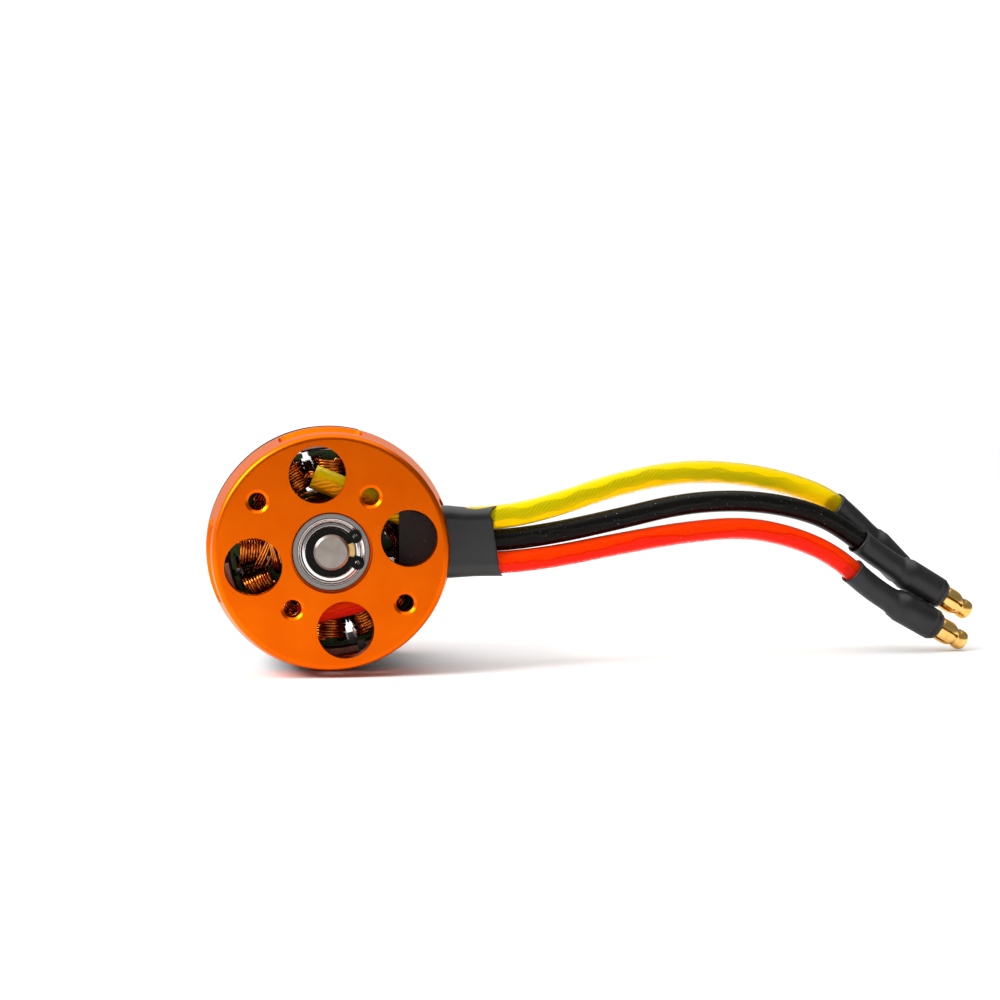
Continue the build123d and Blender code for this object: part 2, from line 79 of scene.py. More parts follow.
TIP_WIRE_R, TIP_WIRES = 13.36, (0.95, 1.35, 1.75, 2.15, 2.55)   # under the tips of the teeth

# Glue round the magnets; the gaps between the two runs of magnets are left empty
MAGNET_COUNT, MAGNET_SPAN, MAGNET_START = 14, 21.0, -7.4
GLUED_RUNS = ((5, 11), (12, 18))
GLUE_LOW, GLUE_HIGH, GLUE_STEPS = 9.9, 24.7, 7
GLUE_INNER_R, GLUE_FILM_R, GLUE_OUTER_R = 14.32, 14.6, 16.19

# Wires between coils and out to the leads, in front of the windings
LOOSE_WIRE_R = 0.16
LOOSE_WIRES = {
    "a": [[(-10.9, 9.0, -3.0), (-10.8, 6.9, -2.6), (-9.3, 6.6, 0.6), (-8.8, 6.5, 1.7),
           (-8.5, 6.6, 0.6), (-7.9, 6.8, -2.4), (-7.7, 8.6, -3.3)],
          [(-10.4, 9.0, -2.9), (-10.3, 6.9, -2.5), (-9.2, 6.6, -0.1), (-8.6, 6.4, 1.4),
           (-8.2, 6.6, 0.3), (-7.6, 6.8, -2.5), (-7.4, 8.6, -3.4)],
          [(-10.0, 9.0, -2.8), (-9.9, 7.0, -2.5), (-8.9, 6.9, -0.3), (-8.4, 6.5, 1.2),
           (-7.9, 6.6, -0.1), (-7.3, 6.8, -2.6), (-7.1, 8.6, -3.5)],
          [(-9.3, 9.0, -3.0), (-9.2, 7.0, -2.6), (-8.4, 7.1, -0.9), (-8.1, 7.2, 0.5)],
          [(-8.0, 8.8, 1.3), (-7.7, 6.7, 0.8), (-7.1, 6.7, -1.2), (-6.7, 6.9, -2.6),
           (-6.6, 8.6, -3.1)],
          [(9.4, 5.75, 1.3), (8.8, 6.3, 2.4), (8.0, 6.9, 3.5), (7.4, 8.6, 4.2)],
          [(9.4, 5.75, 0.9), (8.4, 6.5, 1.9), (7.7, 7.1, 2.9), (7.1, 8.6, 3.8)],
          [(9.4, 5.75, 0.6), (8.6, 6.6, 0.2), (8.3, 8.8, -0.4)]],
    "b": [[(-4.5, 4.6, -9.0), (-5.7, 4.9, -9.3), (-6.1, 6.8, -9.7), (-6.2, 8.8, -9.9)],
          [(-4.5, 5.2, -9.4), (-5.6, 5.4, -9.8), (-5.8, 6.9, -10.1), (-5.8, 8.8, -10.4)],
          [(-4.5, 5.3, -8.9), (-5.4, 5.9, -9.1), (-5.6, 7.0, -9.4), (-5.7, 8.8, -9.6)]],
    "c": [[(-2.4, 4.8, 11.1), (-3.1, 5.0, 11.2), (-3.6, 5.9, 10.3), (-3.5, 7.0, 9.6),
           (-3.2, 8.8, 9.4)],
          [(-2.4, 5.2, 10.9), (-3.3, 5.3, 10.9), (-3.7, 6.2, 10.0), (-3.4, 8.8, 9.2)],
          [(-2.4, 4.4, 10.8), (-3.0, 4.5, 10.8), (-3.4, 5.8, 10.0), (-3.1, 8.8, 9.0)],
          [(-2.4, 5.6, 10.4), (-3.4, 5.9, 10.5), (-3.9, 7.2, 10.8), (-4.2, 8.8, 11.2)],
          [(-4.9, 8.8, 7.4), (-4.2, 6.9, 7.8), (-3.0, 6.7, 8.2), (-1.6, 7.0, 7.9),
           (-1.0, 8.8, 7.6)],
          [(-4.3, 8.8, 7.0), (-3.4, 7.2, 7.3), (-2.2, 7.1, 7.5), (-0.8, 8.8, 7.2)]],
}

# Leads: routes inside the motor, and from the rim to the plug
LEADS = {
    "yellow": {
        "radius": 1.725, "length": 76.0,
        "inner": [(-2.4, 4.95, 10.5), (8.0, 4.95, 6.2), (12.4, 4.95, 4.35), (17.6, 4.95, 4.35)],
        "route": [(17.6, 4.95, 4.35), (23.8, 4.95, 4.35), (32.0, 6.5, 6.0), (42.0, 9.8, 9.1),
                  (52.5, 13.5, 10.9), (62.5, 17.2, 10.5), (71.0, 20.1, 8.9), (78.0, 22.4, 6.5),
                  (83.1, 24.0, 2.5), (86.7, 24.9, -0.9)],
    },
    "black": {
        "radius": 1.6, "length": 77.5,
        "inner": [(9.4, 5.75, 1.1), (13.5, 5.75, 1.1), (17.6, 5.75, 1.1)],
        "route": [(17.6, 5.75, 1.1), (23.8, 5.75, 1.1), (32.0, 6.2, 2.1), (42.0, 8.5, 4.0),
                  (52.5, 11.3, 6.2), (62.5, 14.1, 6.5), (71.0, 16.4, 5.3), (78.0, 18.0, 2.9),
                  (85.8, 19.9, -2.8), (90.1, 20.5, -5.3)],
    },
    "red": {
        "radius": 1.625, "length": 76.0,
        "inner": [(-4.5, 4.95, -9.3), (2.0, 4.95, -7.8), (5.0, 4.95, -7.1),
                  (12.2, 4.95, -2.05), (17.6, 4.95, -2.05)],
        "route": [(17.6, 4.95, -2.05), (23.8, 4.95, -2.05), (32.0, 6.0, -1.3), (42.0, 8.1, 0.4),
                  (52.5, 10.7, 1.9), (62.5, 13.2, 2.5), (71.0, 15.3, 0.7), (78.0, 16.7, -2.4),
                  (84.2, 18.2, -7.8), (88.6, 18.8, -10.2)],
    },
}


# ---- Meshes --------------------------------------------------------------------------------
def polar(radius, angle, y):
    """The place at a radius and angle about the motor axis."""
    return Vector((radius * cos(radians(angle)), y, radius * sin(radians(angle))))


def add_piece(name, verts, faces, material, body, smooth=True):
    """A mesh piece from millimetre vertices, riding on a body."""
    mesh = bpy.data.meshes.new(name)
    mesh.from_pydata([Vector(v) * MM for v in verts], [], faces)
    mesh.update()
    mesh.polygons.foreach_set("use_smooth", [smooth] * len(mesh.polygons))
    mesh.materials.append(material)
    piece = bpy.data.objects.new(name, mesh)
    bpy.context.scene.collection.objects.link(piece)
    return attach(piece, body)


def carried_frames(points):
    """(point, side, up) along a line, turned as little as possible from one to the next."""
    frames, side = [], None
    for index, point in enumerate(points):
        before, after = points[max(index - 1, 0)], points[min(index + 1, len(points) - 1)]
        ahead = (after - before).normalized()
        if side is None:
            side = ahead.cross(Vector((0, 0, 1)))
            if side.length < 0.1:
                side = ahead.cross(Vector((0, 1, 0)))
        side = (side - ahead * side.dot(ahead)).normalized()
        frames.append((point, side, side.cross(ahead)))
    return frames


LENGTHWISE = "lengthwise"    # name of the mapping that tubes carry
SHARP = radians(40)          # edges bent more than this are creased


class Tubes:
    """Collects tubes into one mesh, mapped by (millimetres along, share of a turn)."""

    def __init__(self):
        self.verts, self.faces, self.marks = [], [], []

    def add(self, points, radius, sides=8):
        """A closed tube along points."""
        along, travelled = [], 0.0
        for before, point in zip([points[0]] + points, points):
            travelled += (point - before).length
            along.append(travelled)
        self.skin([[point + (side * cos(angle) + up * sin(angle)) * radius
                    for angle in (tau * step / sides for step in range(sides))]
                   for point, side, up in carried_frames(points)], along)

    def turn(self, points, profile, sides=40):
        """A lathed skin round a line, from (distance, radius) corners."""
        frames, reached = carried_frames(points), [0.0]
        for before, after in zip(points, points[1:]):
            reached.append(reached[-1] + (after - before).length)
        rings = []
        for distance, radius in profile:
            index = min(range(len(points)), key=lambda spot: abs(reached[spot] - distance))
            point, side, up = frames[index]
            centre = point + up.cross(side) * (reached[index] - distance)
            rings.append([centre + (side * cos(angle) + up * sin(angle)) * radius
                          for angle in (tau * step / sides for step in range(sides))])
        self.skin(rings, [distance for distance, _ in profile])

    def skin(self, rings, along, capped=True):
        """Faces from ring to ring, and caps on both ends."""
        first, sides = len(self.verts), len(rings[0])
        for ring in rings:
            self.verts += ring
        for row in range(len(rings) - 1):
            start = first + row * sides
            for step in range(sides):
                after = (step + 1) % sides
                self.faces.append((start + step, start + after, start + sides + after,
                                   start + sides + step))
                low, high = step / sides, (step + 1) / sides
                self.marks += [(along[row], low), (along[row], high),
                               (along[row + 1], high), (along[row + 1], low)]
        if capped:
            last = first + (len(rings) - 1) * sides
            self.faces.append(tuple(reversed(range(first, first + sides))))
            self.faces.append(tuple(range(last, last + sides)))
            self.marks += [(along[0], 0.0)] * sides + [(along[-1], 0.0)] * sides

    def piece(self, name, material, body):
        """The tubes so far, as one mapped piece."""
        made = add_piece(name, self.verts, self.faces, material, body)
        layer = made.data.uv_layers.new(name=LENGTHWISE)
        layer.data.foreach_set("uv", [value for mark in self.marks for value in mark])
        return made


def spline_line(name, points, smoothness=24):
    """Points along the smooth NURBS line that has these control points, in millimetres."""
    curve = bpy.data.curves.new(name, "CURVE")
    curve.dimensions = "3D"
    curve.resolution_u = smoothness
    spline = curve.splines.new("NURBS")
    spline.points.add(len(points) - 1)
    for control, point in zip(spline.points, points):
        control.co = (*(Vector(point) * MM), 1)
    spline.order_u = 3
    spline.use_endpoint_u = True
    holder = bpy.data.objects.new(name, curve)
    mesh = bpy.data.meshes.new_from_object(holder)
    line = [v.co / MM for v in mesh.vertices]
    bpy.data.objects.remove(holder)
    bpy.data.meshes.remove(mesh)
    return line


# ---- Materials -----------------------------------------------------------------------------
class Surface:
    """A material whose colour, roughness and relief vary with noise in the object's own space."""

    def __init__(self, name, metallic=0.0, **sockets):
        self.material = bpy.data.materials.new(name)
        self.material.use_nodes = True
        self.nodes, self.links = self.material.node_tree.nodes, self.material.node_tree.links
        self.shader = self.nodes["Principled BSDF"]
        self.shader.inputs["Metallic"].default_value = metallic
        for socket, value in sockets.items():
            self.shader.inputs[socket.replace("_", " ")].default_value = value
        self.place = self.nodes.new("ShaderNodeTexCoord").outputs["Object"]

    def node(self, kind, inputs=(), **settings):
        """A new node, its inputs linked to other nodes' outputs or set to plain values."""
        made = self.nodes.new(kind)
        for key, value in settings.items():
            setattr(made, key, value)
        for socket, value in dict(inputs).items():
            if isinstance(value, bpy.types.NodeSocket):
                self.links.new(value, made.inputs[socket])
            else:
                made.inputs[socket].default_value = value
        return made

    def noise(self, size, stretch=(1, 1, 1), detail=3.0, place=None):
        """Noise whose grains are about size millimetres."""
        scaled = self.node("ShaderNodeVectorMath", {0: place or self.place, 1: stretch},
                           operation="MULTIPLY").outputs[0]
        return self.node("ShaderNodeTexNoise", {"Vector": scaled, "Scale": 1 / (size * MM),
                                                "Detail": detail}).outputs["Fac"]

    def parts(self, place=None):
        """X, Y and Z of a place."""
        return self.node("ShaderNodeSeparateXYZ", {"Vector": place or self.place}).outputs

    def radius(self):
        """Distance from the motor axis."""
        flat = self.node("ShaderNodeVectorMath", {0: self.place, 1: (1, 0, 1)},
                         operation="MULTIPLY").outputs[0]
        return self.node("ShaderNodeVectorMath", {0: flat}, operation="LENGTH").outputs["Value"]

    def spread(self, factor, low, high, start=0.3, end=0.7):
        """factor from start to end, mapped to low to high."""
        return self.node("ShaderNodeMapRange", {"Value": factor, "From Min": start, "From Max": end,
                                                "To Min": low, "To Max": high}).outputs["Result"]

    def fade(self, distance, band, low=0, high=1):
        """low before a band of millimetres, and high past it."""
        start, end = band
        return self.spread(distance, low, high, start * MM, end * MM)

    def colour(self, factor, dark, light):
        """Colour from dark to light; each is three numbers or another node's colour."""
        mixed = self.node("ShaderNodeMix", data_type="RGBA")
        self.links.new(factor, mixed.inputs[0])
        for socket, value in ((6, dark), (7, light)):
            if isinstance(value, bpy.types.NodeSocket):
                self.links.new(value, mixed.inputs[socket])
            else:
                mixed.inputs[socket].default_value = (*value, 1)
        return mixed.outputs[2]

    def maths(self, kind, first, second=0.0):
        return self.node("ShaderNodeMath", {0: first, 1: second}, operation=kind).outputs[0]

    def set(self, socket, value):
        self.links.new(value, self.shader.inputs[socket])
        return self

    def relief(self, height, depth):
        """Bump of depth millimetres."""
        bump = self.node("ShaderNodeBump", {"Height": height, "Distance": depth * MM})
        return self.set("Normal", bump.outputs["Normal"])


def simple_surface(name, dark, light, rough, metallic=0.0, grain=0.5, tint=3.0, depth=0.004,
                   **sockets):
    """A finish with slow colour changes of size tint and fine relief of size grain."""
    surface = Surface(name, metallic, **sockets)
    slow, fine = surface.noise(tint), surface.noise(grain, detail=4.0)
    surface.set("Base Color", surface.colour(surface.spread(slow, 0, 1), dark, light))
    surface.set("Roughness", surface.spread(fine, *rough))
    return surface.relief(fine, depth)


# Where the inside of the cup is painted darker, as shade: depths behind the face, and radii
CUP_FRONT, CUP_BACK, CUP_WALL = (2.6, 2.85), (20.0, 20.5), (15.35, 15.4)


def anodised():
    """Satin orange; deep inside the cup, painted darker as shade, and rougher."""
    surface = Surface("orange_anodised", 1.0, Specular_Tint=(1.0, 0.72, 0.52, 1.0))
    slow, fine = surface.noise(6.0), surface.noise(0.09, detail=4.0)
    satin = surface.colour(surface.spread(slow, 0, 1), (0.74, 0.104, 0.0010),
                           (0.80, 0.124, 0.0014))
    depth = surface.parts()["Y"]
    cup = surface.maths("MULTIPLY", surface.fade(depth, CUP_FRONT),
                        surface.fade(surface.radius(), CUP_WALL, 1, 0))
    deep = surface.maths("MULTIPLY", cup, surface.fade(depth, CUP_BACK, 1, 0))
    # Painted shade: the base colour turns dark deep inside the cup
    surface.set("Base Color", surface.colour(deep, satin, (0.26, 0.022, 0.0008)))
    surface.set("Roughness", surface.maths("ADD", surface.spread(fine, 0.29, 0.36),
                                           surface.maths("MULTIPLY", deep, 0.15)))
    return surface.relief(fine, 0.0016).material


def enamelled_copper():
    surface = simple_surface("enamelled_copper", (0.24, 0.042, 0.003), (0.95, 0.36, 0.040),
                             (0.14, 0.28), 1.0, grain=0.25, tint=1.1, depth=0.002)
    surface.shader.inputs["Coat Weight"].default_value = 0.3
    surface.shader.inputs["Coat Roughness"].default_value = 0.12
    return surface.material


def winding_shade():
    """Wires deep in the slots, painted near-black as the shade that falls deep in the slots."""
    return simple_surface("winding_shade", (0.010, 0.004, 0.002), (0.05, 0.013, 0.003),
                          (0.25, 0.4), 0.5, grain=0.2, tint=0.8, depth=0.01,
                          Specular_IOR_Level=0.3).material


LAMINATION = 0.35
STACK_SKIN = (14.10, 14.13)    # radii where the bare edges of the laminations start


def core_coating():
    """Green epoxy on the ends of the stack; bare lamination edges round the outside."""
    surface = Surface("core_coating", Specular_IOR_Level=0.2)
    mottled, fine = surface.noise(1.6), surface.noise(0.35, detail=4.0)
    green = surface.colour(surface.spread(mottled, 0, 1), (0.016, 0.066, 0.006),
                           (0.040, 0.135, 0.015))
    layers = surface.maths("MULTIPLY", surface.parts()["Y"], tau / (LAMINATION * MM))
    steel = surface.colour(surface.spread(surface.maths("SINE", layers), 0, 1, -1, 1),
                           (0.10, 0.10, 0.095), (0.24, 0.23, 0.22))
    outside = surface.fade(surface.radius(), STACK_SKIN)
    surface.set("Base Color", surface.colour(outside, green, steel))
    surface.set("Metallic", outside)
    surface.set("Roughness", surface.spread(fine, 0.28, 0.42))
    return surface.relief(fine, 0.006).material


def ground_steel(name, dark, light, rough, rings=0.25):
    """Steel with turning marks round the motor axis."""
    surface = Surface(name, 1.0)
    track = surface.node("ShaderNodeCombineXYZ", {"X": surface.radius(),
                                                  "Y": surface.parts()["Y"]}).outputs[0]
    marks, fine = surface.noise(rings, place=track), surface.noise(0.12, detail=4.0)
    surface.set("Base Color", surface.colour(surface.spread(marks, 0, 1), dark, light))
    surface.set("Roughness", surface.spread(marks, *rough))
    return surface.relief(surface.maths("ADD", marks, fine), 0.002).material


def magnet_nickel():
    return simple_surface("magnet_nickel", (0.52, 0.36, 0.30), (0.72, 0.54, 0.47), (0.24, 0.40),
                          0.3, grain=0.3, tint=1.5, depth=0.003).material


CAN_SKIN = (16.25, 16.30)    # radii where the can's glued inside ends
CAN_ROUGH, SKIN_SMOOTHER = (0.70, 0.84), 0.42


def can_steel():
    """Plated steel outside; inside, a dull film of glue between the magnets."""
    surface = Surface("can_steel")
    slow, fine = surface.noise(5.0), surface.noise(0.15, stretch=(1, 0.2, 1))
    steel = surface.colour(surface.spread(slow, 0, 1), (0.25, 0.25, 0.26), (0.31, 0.31, 0.32))
    outside = surface.fade(surface.radius(), CAN_SKIN)
    glue = surface.colour(surface.spread(fine, 0, 1), (0.004, 0.003, 0.003),
                          (0.010, 0.008, 0.007))
    surface.set("Base Color", surface.colour(outside, glue, steel))
    surface.set("Metallic", outside)
    surface.set("Roughness", surface.maths("SUBTRACT", surface.spread(fine, *CAN_ROUGH),
                                           surface.maths("MULTIPLY", outside, SKIN_SMOOTHER)))
    return surface.relief(fine, 0.003).material


def gold_plate():
    return simple_surface("gold_plate", (0.86, 0.50, 0.12), (0.98, 0.66, 0.22), (0.20, 0.26),
                          1.0, grain=0.3, tint=1.2, depth=0.002).material


# Roughness added to a sleeve's inside, whose colour is painted shade with dust specks, and to that
# again outside; and the dust specks
INSIDE_ROUGHER, OUTSIDE_SMOOTHER = 0.36, -0.42
DIRT_GRAIN, DIRT_SHARE = 0.30, 0.30


def shrunk_film(name, dark, light, specular, inside=None):
    """Black polyolefin film, painted darker as shade before a band of millimetres along X, with
    dust specks there.
    """
    surface = Surface(name, Specular_IOR_Level=specular)
    broad, fine = surface.noise(2.2, detail=2.0), surface.noise(0.16, detail=5.0)
    film = surface.colour(surface.spread(broad, 0, 1), dark, light)
    rough = surface.spread(fine, 0.36, 0.48)
    if inside:
        outside = surface.fade(surface.parts()["X"], inside)
        dust = surface.spread(surface.noise(DIRT_GRAIN, detail=1.0), 0, DIRT_SHARE, 0.71, 0.76)
        # Painted shade: inside the motor the film is near-black, with dust specks over it
        shade_and_dust = surface.colour(dust, (0.002, 0.0018, 0.0018), (0.30, 0.16, 0.10))
        film = surface.colour(outside, shade_and_dust, film)
        rough = surface.maths("ADD", rough, surface.maths("MULTIPLY", outside, OUTSIDE_SMOOTHER))
        rough = surface.maths("ADD", rough, INSIDE_ROUGHER)
    surface.set("Base Color", film)
    surface.set("Roughness", rough)
    return surface.relief(surface.maths("ADD", broad, fine), 0.012).material


# Painted reflection of the horizon on a lead: a wavering line between its painted upper and lower
# halves, by height as a share of the radius
PAINTED_HORIZON_WAVER, PAINTED_HORIZON_FADE, PAINTED_HORIZON_HALF, PAINTED_HORIZON_SHARE = 0.3, (-0.22, 0.02), 0.16, 0.8
DUST_GRAIN, DUST_SHARE, DUST_COLOUR = 0.22, 0.5, (0.70, 0.62, 0.48)

# Twisted strands seen through clear insulation; twists are in radians per millimetre of lead
STRAND_TWIST, BUNDLE_TWIST = 0.41, 1.065
STRANDS_SHOW, STRANDS_FADE = 62.0, 8.0     # the strands are gone this far along the lead
BUNDLE_WANDER, SCALLOP = (-0.30, 0.20), 0.09
BUNDLE_EDGE = (0.40, 0.50)                 # from the middle, as a share of the radius
STRAND_UNEVEN, STREAK_EDGE = 1.4, (-0.9, 0.4)


def silicone(name, painted_upper, painted_lower, painted_horizon, rough, clear=0.0, bundle=None, specular=0.5, ior=1.41,
             count=20, lift=0.0, faint=0.62):
    """Soft insulation with a little dust, mapped along its lead.

    Its upper and lower halves are painted in different colours, as painted light and painted
    reflection, with a wavering painted reflection of the horizon between them. A bundle is
    the colour of the twisted strands that show through the front and back of clear insulation,
    with count strands round it, its middle lifted by a share of the radius, and the hollows
    between strands as strong as faint.
    """
    surface = Surface(name, Transmission_Weight=clear, IOR=ior, Specular_IOR_Level=specular)
    mapped = surface.parts(surface.node("ShaderNodeUVMap", uv_map=LENGTHWISE).outputs["UV"])
    turn = surface.maths("MULTIPLY", mapped["Y"], tau)
    height = surface.maths("SINE", turn)
    slow = surface.noise(6.0)
    # Painted light and reflection: upper and lower halves get their own colours by height round the
    # lead, with a painted horizon line between them
    wavering = surface.maths("ADD", height, surface.spread(slow, -PAINTED_HORIZON_WAVER, PAINTED_HORIZON_WAVER))
    painted_halves = surface.colour(surface.spread(wavering, 0, 1, *PAINTED_HORIZON_FADE), painted_lower, painted_upper)
    line = surface.spread(surface.maths("ABSOLUTE", wavering), PAINTED_HORIZON_SHARE, 0, 0, PAINTED_HORIZON_HALF)
    base = surface.colour(line, painted_halves, painted_horizon)
    if bundle:
        raised = surface.maths("SUBTRACT", height, lift)
        mask = bundle_mask(surface, mapped["X"], turn, raised, count, faint)
        base = surface.colour(mask, base, bundle)
    dust = surface.spread(surface.noise(DUST_GRAIN, detail=1.0), 0, DUST_SHARE, 0.745, 0.80)
    surface.set("Base Color", surface.colour(dust, base, DUST_COLOUR))
    fine = surface.noise(0.10, detail=4.0)
    surface.set("Roughness", surface.spread(fine, *rough))
    return surface.relief(fine, 0.003).material


def bundle_mask(surface, along, turn, height, count, faint):
    """Twisted strands seen through clear insulation: a scalloped band with slanting streaks."""
    twisted = surface.maths("SUBTRACT", turn, surface.maths("MULTIPLY", along, STRAND_TWIST))
    wave = surface.maths("SINE", surface.maths("MULTIPLY", along, BUNDLE_TWIST))
    wander = surface.spread(surface.noise(14.0), *BUNDLE_WANDER)
    middle = surface.maths("ADD", wander, surface.maths("MULTIPLY", wave, SCALLOP))
    away = surface.maths("ABSOLUTE", surface.maths("SUBTRACT", height, middle))
    band = surface.spread(away, 1, 0, *BUNDLE_EDGE)
    uneven = surface.spread(surface.noise(1.2), -STRAND_UNEVEN, STRAND_UNEVEN)
    phase = surface.maths("ADD", surface.maths("MULTIPLY", twisted, count), uneven)
    streaks = surface.spread(surface.maths("SINE", phase), faint, 1.0, *STREAK_EDGE)
    ends = surface.spread(along, 1, 0, STRANDS_SHOW - STRANDS_FADE, STRANDS_SHOW)
    return surface.maths("MULTIPLY", surface.maths("MULTIPLY", band, streaks), ends)


def label_film():
    return simple_surface("label_film", (0.010, 0.014, 0.022), (0.018, 0.024, 0.036),
                          (0.30, 0.42), grain=0.2, tint=4.0, depth=0.003).material


def make_materials():
    return {
        "orange_anodised": anodised(),
        "copper_wire": enamelled_copper(),
        "winding_shade": winding_shade(),
        "core_coating": core_coating(),
        "can_steel": can_steel(),
        "magnet_nickel": magnet_nickel(),
        "shaft_steel": simple_surface("shaft_steel", (0.28, 0.245, 0.215), (0.37, 0.32, 0.285),
                                      (0.32, 0.42), 1.0, grain=0.15, tint=1.5).material,
        "bearing_steel": ground_steel("bearing_steel", (0.20, 0.185, 0.175), (0.31, 0.29, 0.275),
                                      (0.26, 0.36)),
        "shield_steel": ground_steel("shield_steel", (0.60, 0.59, 0.57), (0.74, 0.73, 0.71),
                                     (0.12, 0.22), rings=0.4),
        "black_steel": simple_surface("black_steel", (0.001, 0.001, 0.001), (0.004, 0.004, 0.003),
                                      (0.24, 0.40), grain=0.2, tint=0.9,
                                      Specular_IOR_Level=0.10).material,
        "brass_shim": simple_surface("brass_shim", (0.60, 0.38, 0.12), (0.75, 0.50, 0.19),
                                     (0.24, 0.36), 1.0, grain=0.2, tint=0.8).material,
        "label_film": label_film(),
        "heat_shrink": shrunk_film("heat_shrink", (0.0075, 0.0075, 0.008),
                                   (0.013, 0.013, 0.0135), 0.40),
        "flat_shrink": shrunk_film("flat_shrink", (0.007, 0.0065, 0.0065),
                                   (0.012, 0.0115, 0.0115), 0.50, (14.6, 15.6)),
        "magnet_glue": simple_surface("magnet_glue", (0.004, 0.003, 0.003),
                                      (0.010, 0.008, 0.007), (0.6, 0.8), depth=0.01).material,
        "yellow_silicone": silicone("yellow_silicone", (1.0, 0.76, 0.0), (1.0, 0.60, 0.0),
                                    (1.0, 0.70, 0.0), (0.30, 0.40), clear=0.62,
                                    bundle=(0.50, 0.44, 0.002), specular=0.25, ior=1.08),
        "yellow_silicone_start": silicone("yellow_silicone_start", (0.70, 0.66, 0.0),
                                          (0.40, 0.25, 0.0), (0.50, 0.36, 0.0), (0.26, 0.36),
                                          clear=0.10, bundle=(0.92, 0.48, 0.0), specular=0.3,
                                          ior=1.2, count=14, lift=-0.25, faint=0.0),
        "black_silicone": silicone("black_silicone", (0.0050, 0.0050, 0.0045),
                                   (0.0040, 0.0012, 0.0012), (0.012, 0.012, 0.012),
                                   (0.20, 0.30), specular=0.12),
        "red_silicone": silicone("red_silicone", (1.0, 0.050, 0.0), (1.0, 0.024, 0.010),
                                 (0.85, 0.004, 0.0), (0.30, 0.40), clear=0.40, specular=0.25,
                                 ior=1.10),
        "gold_plate": gold_plate(),
    }


def dress_cad_nodes(materials):
    """Gives each CAD node the finish of its record slot."""
    for node in NODES.values():
        slot = node.data.materials[0].name.split(".")[0]
        node.data.materials[0] = materials[slot]


# ---- Leads ---------------------------------------------------------------------------------
LEAD_SIDES = 40
PLUG_RUN = 7.2       # from the end of a lead to the front of its plug's sleeve
SLEEVE_BACK = 4.75   # from the last bend of a lead back to where its plug's sleeve starts

# Skin of a plug's sleeve, as (distance, radius): its back lip, measured from where it starts,
# and its front, measured from the lead's end; between them it fits the lead
SLEEVE_FIT, SLEEVE_STEP = 1.93, 0.8
SLEEVE_LIP = [(0.9, 1.62), (0.5, 1.80), (0.04, 1.90), (0.0, 1.96), (0.06, 2.04), (0.3, 2.03),
              (0.9, 1.95), (1.6, SLEEVE_FIT)]
SLEEVE_FRONT = [(-3.0, SLEEVE_FIT), (-1.8, 1.96), (-1.2, 2.06), (-0.6, 2.26), (-0.1, 2.42),
                (0.5, 2.50), (1.2, 2.51), (3.5, 2.50), (5.9, 2.50), (6.1, 2.485), (6.2, 2.46),
                (6.3, 2.48), (6.6, 2.45), (6.9, 2.34), (7.1, 2.18), (7.2, 2.00), (7.15, 1.86),
                (6.9, 1.80)]

# Plug, as (distance from the lead's end, radius); its leaves are parted by slits
PLUG_PROFILE = [(6.6, 1.60), (7.29, 1.62), (7.31, 1.64), (7.6, 1.78), (8.0, 1.86), (8.6, 1.88),
                (9.4, 1.88), (9.9, 1.83), (10.3, 1.68), (10.6, 1.50), (10.79, 1.44),
                (10.81, 1.43), (11.0, 1.42), (11.2, 1.48), (11.45, 1.55), (12.0, 1.56),
                (12.3, 1.52), (12.55, 1.42), (12.72, 1.28), (12.8, 1.10), (12.8, 0.55),
                (12.4, 0.5)]
PLUG_SIDES, PLUG_STEPS = 120, 20
SLITS, SLIT_START, SLIT_END, SLIT_HALF, SLIT_FLOOR = 6, 7.3, 10.8, 0.17, 0.8

# Film of the flat sleeve over the leads, wider in the motor and straight from the rim on
FLAT_START, FLAT_STRAIGHT, FLAT_MOUTH = 9.6, 13.7, 23.75
FLAT_Y, FLAT_HALF, FLAT_CORNER, FILM = 5.285, 2.285, 1.95, 0.2
FLAT_TOP, TOP_FLARE, FLAT_LOW, LOW_FLARE = 6.29, 1.41, -3.89, 2.41
SAG, SAG_X, SAG_HALF = 0.24, 20.4, 3.6          # of the top edge, between two leads
DROOP, DROOP_END, DROOP_RUN = 0.30, 20.5, 5     # of the low edge
BITE, BITE_Z, BITE_HALF = 1.25, 5.0, 1.35       # in the front of the mouth
TONGUE, TONGUE_Z, TONGUE_RUN = 0.9, -2.6, 1.4   # at the bottom of the mouth
WAIST, WAIST_Z, WAIST_HALF = 0.16, 1.2, 5.1     # all round the mouth
MOUTH_CURL = 6                                  # how late the film is pulled out of square
CORNER_STEPS, FILM_STEPS, FILM_MAPPED = 16, 40, 25.0

# Pressed shield, as (distance behind the bearing's face, radius), from its rim inwards
SHIELD_FRONT = [(0.20, 4.74), (0.10, 4.70), (0.06, 4.62), (0.08, 4.54), (0.17, 4.46),
                (0.20, 4.40), (0.13, 4.34), (0.12, 4.28), (0.16, 4.21), (0.20, 4.16),
                (0.18, 4.11), (0.125, 3.80), (0.07, 3.53), (0.10, 3.50)]
SHIELD_BACK = [(0.32, 3.50), (0.36, 4.00), (0.36, 4.70), (0.20, 4.74)]
SHIELD_SIDES, SHIELD_STEPS = 96, 20
REAR_BEARING, FRONT_BEARING = (1.6, 6.6), (22.2, 27.2)    # their two faces, along the axis


